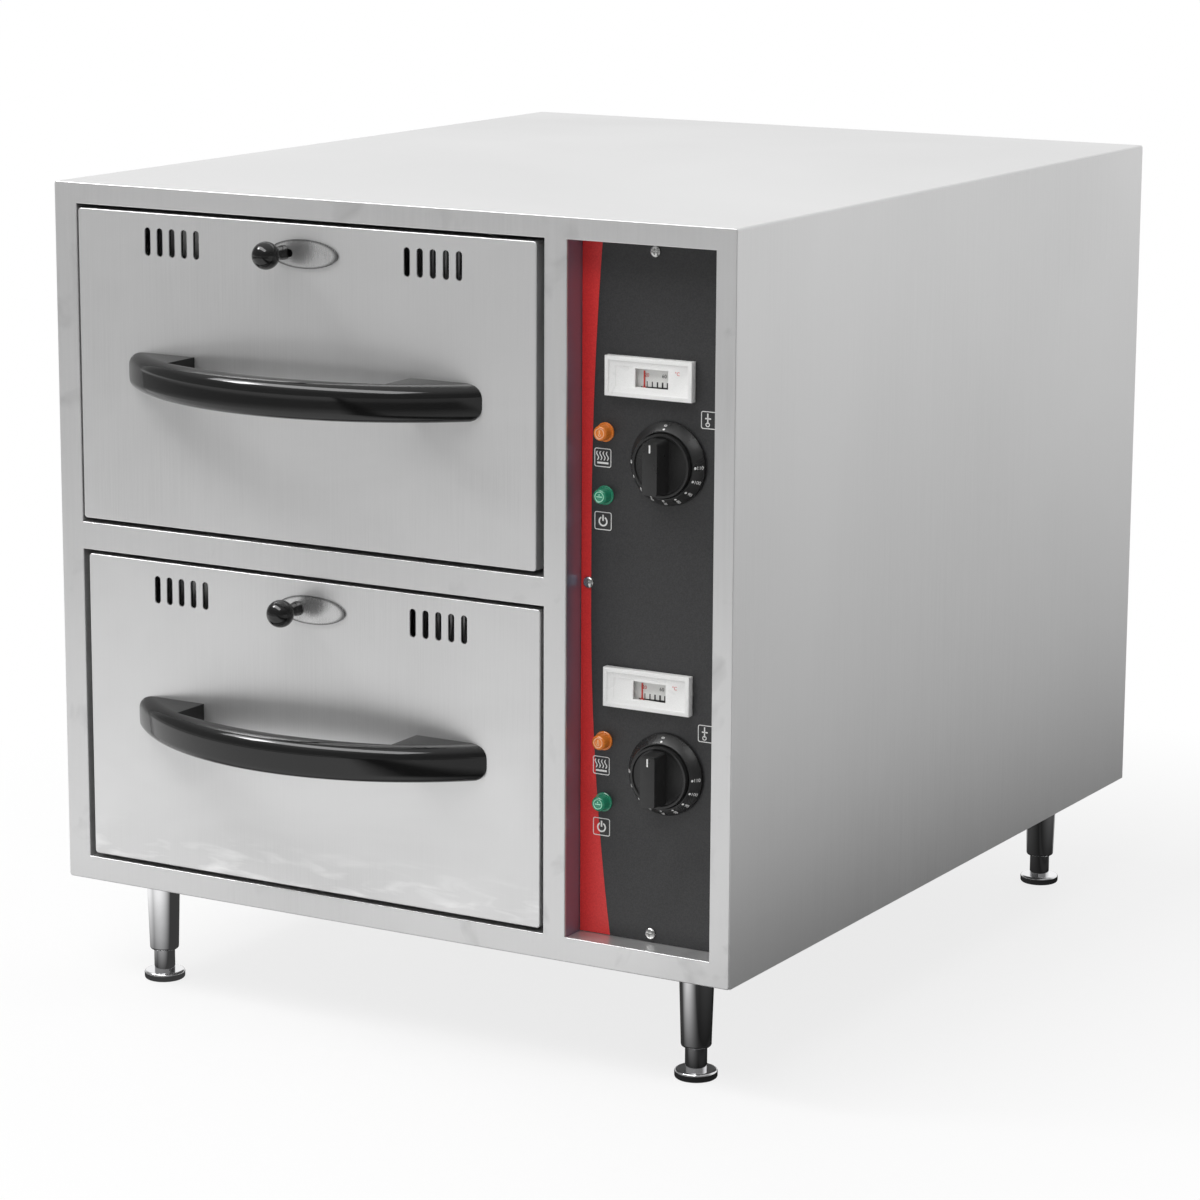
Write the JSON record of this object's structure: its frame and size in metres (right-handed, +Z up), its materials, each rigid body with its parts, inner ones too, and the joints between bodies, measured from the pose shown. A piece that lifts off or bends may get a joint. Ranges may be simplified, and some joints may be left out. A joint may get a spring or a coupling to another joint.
{
  "type": "countertop warming drawer",
  "caption": "Stainless countertop warming cabinet on adjustable legs with stacked heated drawers on telescopic slides and a recessed panel of thermostats.",
  "frame": {"origin": "on the floor, under the middle of the overall box, which runs from the drawer handles to the cable gland", "axes": "+X to the right as one faces the drawers, +Y to the back, +Z up"},
  "size_m": [0.55, 0.746, 0.593],
  "materials": {
    "stainless": "brushed stainless sheet",
    "screw_steel": "plated steel",
    "zinc_steel": "zinc-plated steel",
    "liner_steel": "mill-finish stainless sheet",
    "pan_steel": "drawn stainless, satin",
    "insulation_wool": "mineral wool slab",
    "heater_sheath": "heat-darkened steel sheath",
    "panel_plate": "painted steel plate",
    "panel_film": "printed matt film",
    "thermostat_case": "moulded",
    "capillary_metal": "copper-coloured tube and bulb",
    "bezel_white": "moulded",
    "dial_white": "printed plate",
    "pointer_red": "painted",
    "amber_lens": "moulded lens",
    "green_lens": "moulded lens",
    "chrome_plate": "polished plating",
    "knob_black": "moulded phenolic",
    "shaft_brass": "turned",
    "handle_black": "moulded phenolic"
  },
  "bodies": {
    "cabinet": {"outer_shell": "stainless", "front_frame": "stainless", "base_panel": "stainless", "rear_panel": "stainless", "rear_panel_screws": "screw_steel", "control_panel_screws": "screw_steel", "control_bay_partition": "zinc_steel", "upper_fixed_rails": "zinc_steel", "lower_fixed_rails": "zinc_steel", "upper_cavity_liner": "liner_steel", "lower_cavity_liner": "liner_steel", "insulation": "insulation_wool", "upper_heating_element": "heater_sheath", "lower_heating_element": "heater_sheath", "heater_supports": "zinc_steel", "control_panel": "panel_plate", "control_overlay": "panel_film", "upper_thermostat": "thermostat_case", "lower_thermostat": "thermostat_case", "terminal_block": "thermostat_case", "cable_gland": "thermostat_case", "sensing_bulbs": "capillary_metal", "upper_thermometer_bezel": "bezel_white", "lower_thermometer_bezel": "bezel_white", "thermometer_dials": "dial_white", "heating_lamps": "amber_lens", "power_lamps": "green_lens", "legs": "chrome_plate"},
    "lower_drawer": {"lower_drawer_front": "stainless", "lower_front_liner": "liner_steel", "lower_drawer_box": "liner_steel", "lower_pan": "pan_steel", "lower_drawer_rails": "zinc_steel", "lower_handle": "handle_black", "lower_handle_screws": "screw_steel", "lower_vent_plate": "stainless"},
    "lower_slide_middle": {"lower_middle_rails": "zinc_steel"},
    "lower_vent": {"lower_vent_shutter": "liner_steel", "lower_vent_knob": "handle_black"},
    "lower_thermostat_dial": {"lower_thermostat_knob": "knob_black", "lower_thermostat_shaft": "shaft_brass"},
    "lower_pointer": {"lower_thermometer_pointer": "pointer_red"},
    "upper_drawer": {"upper_drawer_front": "stainless", "upper_front_liner": "liner_steel", "upper_drawer_box": "liner_steel", "upper_pan": "pan_steel", "upper_drawer_rails": "zinc_steel", "upper_handle": "handle_black", "upper_handle_screws": "screw_steel", "upper_vent_plate": "stainless"},
    "upper_slide_middle": {"upper_middle_rails": "zinc_steel"},
    "upper_vent": {"upper_vent_shutter": "liner_steel", "upper_vent_knob": "handle_black"},
    "upper_thermostat_dial": {"upper_thermostat_knob": "knob_black", "upper_thermostat_shaft": "shaft_brass"},
    "upper_pointer": {"upper_thermometer_pointer": "pointer_red"},
    "front_left_levelling_foot": {"front_left_foot": "chrome_plate"},
    "front_right_levelling_foot": {"front_right_foot": "chrome_plate"},
    "rear_left_levelling_foot": {"rear_left_foot": "chrome_plate"},
    "rear_right_levelling_foot": {"rear_right_foot": "chrome_plate"}
  },
  "joints": [
    {"name": "lower_drawer_slide", "type": "slide", "parent": "cabinet", "child": "lower_drawer", "axis": [0, -1, 0], "range_m": [0, 0.5]},
    {"name": "lower_middle_rail_slide", "type": "slide", "parent": "cabinet", "child": "lower_slide_middle", "axis": [0, -1, 0], "range_m": [0, 0.25]},
    {"name": "lower_vent_slide", "type": "slide", "parent": "lower_drawer", "child": "lower_vent", "axis": [1, 0, 0], "range_m": [-0.0052, 0]},
    {"name": "lower_thermostat_turn", "type": "hinge", "parent": "cabinet", "child": "lower_thermostat_dial", "pos_m": [0.215, -0.291, 0.2195], "axis": [0, 1, 0], "range_deg": [0, 270]},
    {"name": "lower_pointer_swing", "type": "hinge", "parent": "cabinet", "child": "lower_pointer", "pos_m": [0.196, -0.291, 0.2683], "axis": [0, 1, 0], "range_deg": [-35, 35], "stiffness_Nm_per_rad": 0.0001},
    {"name": "upper_drawer_slide", "type": "slide", "parent": "cabinet", "child": "upper_drawer", "axis": [0, -1, 0], "range_m": [0, 0.5]},
    {"name": "upper_middle_rail_slide", "type": "slide", "parent": "cabinet", "child": "upper_slide_middle", "axis": [0, -1, 0], "range_m": [0, 0.25]},
    {"name": "upper_vent_slide", "type": "slide", "parent": "upper_drawer", "child": "upper_vent", "axis": [1, 0, 0], "range_m": [0, 0.0052]},
    {"name": "upper_thermostat_turn", "type": "hinge", "parent": "cabinet", "child": "upper_thermostat_dial", "pos_m": [0.215, -0.291, 0.4315], "axis": [0, 1, 0], "range_deg": [0, 270]},
    {"name": "upper_pointer_swing", "type": "hinge", "parent": "cabinet", "child": "upper_pointer", "pos_m": [0.196, -0.291, 0.4803], "axis": [0, 1, 0], "range_deg": [-35, 35], "stiffness_Nm_per_rad": 0.0001},
    {"name": "front_left_foot_turn", "type": "hinge", "parent": "cabinet", "child": "front_left_levelling_foot", "pos_m": [-0.225, -0.264, 0], "axis": [0, 0, 1], "continuous": true},
    {"name": "front_right_foot_turn", "type": "hinge", "parent": "cabinet", "child": "front_right_levelling_foot", "pos_m": [0.225, -0.264, 0], "axis": [0, 0, 1], "continuous": true},
    {"name": "rear_left_foot_turn", "type": "hinge", "parent": "cabinet", "child": "rear_left_levelling_foot", "pos_m": [-0.225, 0.312, 0], "axis": [0, 0, 1], "continuous": true},
    {"name": "rear_right_foot_turn", "type": "hinge", "parent": "cabinet", "child": "rear_right_levelling_foot", "pos_m": [0.225, 0.312, 0], "axis": [0, 0, 1], "continuous": true}
  ],
  "couplings": [
    {"joint": "lower_middle_rail_slide", "follows": "lower_drawer_slide", "ratio": 0.5},
    {"joint": "upper_middle_rail_slide", "follows": "upper_drawer_slide", "ratio": 0.5}
  ]
}
